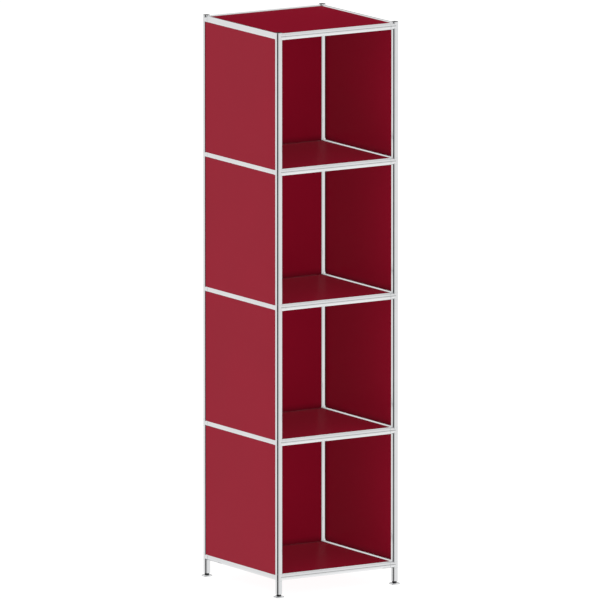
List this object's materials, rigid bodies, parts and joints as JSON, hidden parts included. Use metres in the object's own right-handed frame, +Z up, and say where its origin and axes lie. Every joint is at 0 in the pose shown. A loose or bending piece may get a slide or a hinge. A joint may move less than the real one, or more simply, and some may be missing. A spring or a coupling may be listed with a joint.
{
  "type": "open shelving tower",
  "caption": "Tall open-front shelving tower: chrome tube frame with hub connectors, folded red sheet-metal panels as sides, backs, shelves and top, on levelling feet.",
  "frame": {"origin": "centre of the footprint on the floor", "axes": "+Z up, +X to the right seen from the open front, the open front faces -Y"},
  "size_m": [0.415, 0.415, 1.6093],
  "materials": {
    "chrome": "bright chrome plating on steel tube and die-cast hubs",
    "lacquer": "ruby red powder coat, fine texture, satin",
    "steel": "zinc-plated turned steel",
    "spring_steel": "bright spring steel strip",
    "dark_steel": "black oxide on the set screws and foot spindles",
    "pad": "matt black non-slip pad"
  },
  "bodies": {
    "frame": {"hubs_level_0": "chrome", "cross_rails_level_0": "chrome", "side_rails_level_0": "chrome", "hubs_level_1": "chrome", "cross_rails_level_1": "chrome", "side_rails_level_1": "chrome", "hubs_level_2": "chrome", "cross_rails_level_2": "chrome", "side_rails_level_2": "chrome", "hubs_level_3": "chrome", "cross_rails_level_3": "chrome", "side_rails_level_3": "chrome", "hubs_level_4": "chrome", "cross_rails_level_4": "chrome", "side_rails_level_4": "chrome", "posts_tier_1": "chrome", "left_panel_1": "lacquer", "right_panel_1": "lacquer", "back_panel_1": "lacquer", "posts_tier_2": "chrome", "left_panel_2": "lacquer", "right_panel_2": "lacquer", "back_panel_2": "lacquer", "posts_tier_3": "chrome", "left_panel_3": "lacquer", "right_panel_3": "lacquer", "back_panel_3": "lacquer", "posts_tier_4": "chrome", "left_panel_4": "lacquer", "right_panel_4": "lacquer", "back_panel_4": "lacquer", "bottom_panel": "lacquer", "top_panel": "lacquer", "shelf_panel_1": "lacquer", "shelf_panel_2": "lacquer", "shelf_panel_3": "lacquer", "leg_tubes": "chrome", "leg_bushes": "steel", "top_caps": "chrome", "rail_spigots": "steel", "post_spigots": "steel", "rail_lock_screws": "dark_steel", "post_lock_screws": "dark_steel", "side_panel_clips": "spring_steel", "back_panel_clips": "spring_steel"},
    "foot_front_left": {"foot_plate_front_left": "chrome", "foot_pad_front_left": "pad"},
    "spindle_front_left": {"foot_spindle_front_left": "dark_steel"},
    "foot_front_right": {"foot_plate_front_right": "chrome", "foot_pad_front_right": "pad"},
    "spindle_front_right": {"foot_spindle_front_right": "dark_steel"},
    "foot_back_right": {"foot_plate_back_right": "chrome", "foot_pad_back_right": "pad"},
    "spindle_back_right": {"foot_spindle_back_right": "dark_steel"},
    "foot_back_left": {"foot_plate_back_left": "chrome", "foot_pad_back_left": "pad"},
    "spindle_back_left": {"foot_spindle_back_left": "dark_steel"}
  },
  "joints": [
    {"name": "foot_travel_front_left", "type": "slide", "parent": "frame", "child": "foot_front_left", "axis": [0, 0, -1], "range_m": [0, 0.012]},
    {"name": "spindle_turn_front_left", "type": "hinge", "parent": "foot_front_left", "child": "spindle_front_left", "pos_m": [-0.1925, -0.1925, 0.02], "axis": [0, 0, -1], "range_deg": [-5, 2886]},
    {"name": "foot_travel_front_right", "type": "slide", "parent": "frame", "child": "foot_front_right", "axis": [0, 0, -1], "range_m": [0, 0.012]},
    {"name": "spindle_turn_front_right", "type": "hinge", "parent": "foot_front_right", "child": "spindle_front_right", "pos_m": [0.1925, -0.1925, 0.02], "axis": [0, 0, -1], "range_deg": [-5, 2886]},
    {"name": "foot_travel_back_right", "type": "slide", "parent": "frame", "child": "foot_back_right", "axis": [0, 0, -1], "range_m": [0, 0.012]},
    {"name": "spindle_turn_back_right", "type": "hinge", "parent": "foot_back_right", "child": "spindle_back_right", "pos_m": [0.1925, 0.1925, 0.02], "axis": [0, 0, -1], "range_deg": [-5, 2886]},
    {"name": "foot_travel_back_left", "type": "slide", "parent": "frame", "child": "foot_back_left", "axis": [0, 0, -1], "range_m": [0, 0.012]},
    {"name": "spindle_turn_back_left", "type": "hinge", "parent": "foot_back_left", "child": "spindle_back_left", "pos_m": [-0.1925, 0.1925, 0.02], "axis": [0, 0, -1], "range_deg": [-5, 2886]}
  ],
  "couplings": [
    {"joint": "spindle_turn_front_left", "follows": "foot_travel_front_left", "rad_per_m": 4188.8},
    {"joint": "spindle_turn_front_right", "follows": "foot_travel_front_right", "rad_per_m": 4188.8},
    {"joint": "spindle_turn_back_right", "follows": "foot_travel_back_right", "rad_per_m": 4188.8},
    {"joint": "spindle_turn_back_left", "follows": "foot_travel_back_left", "rad_per_m": 4188.8}
  ]
}
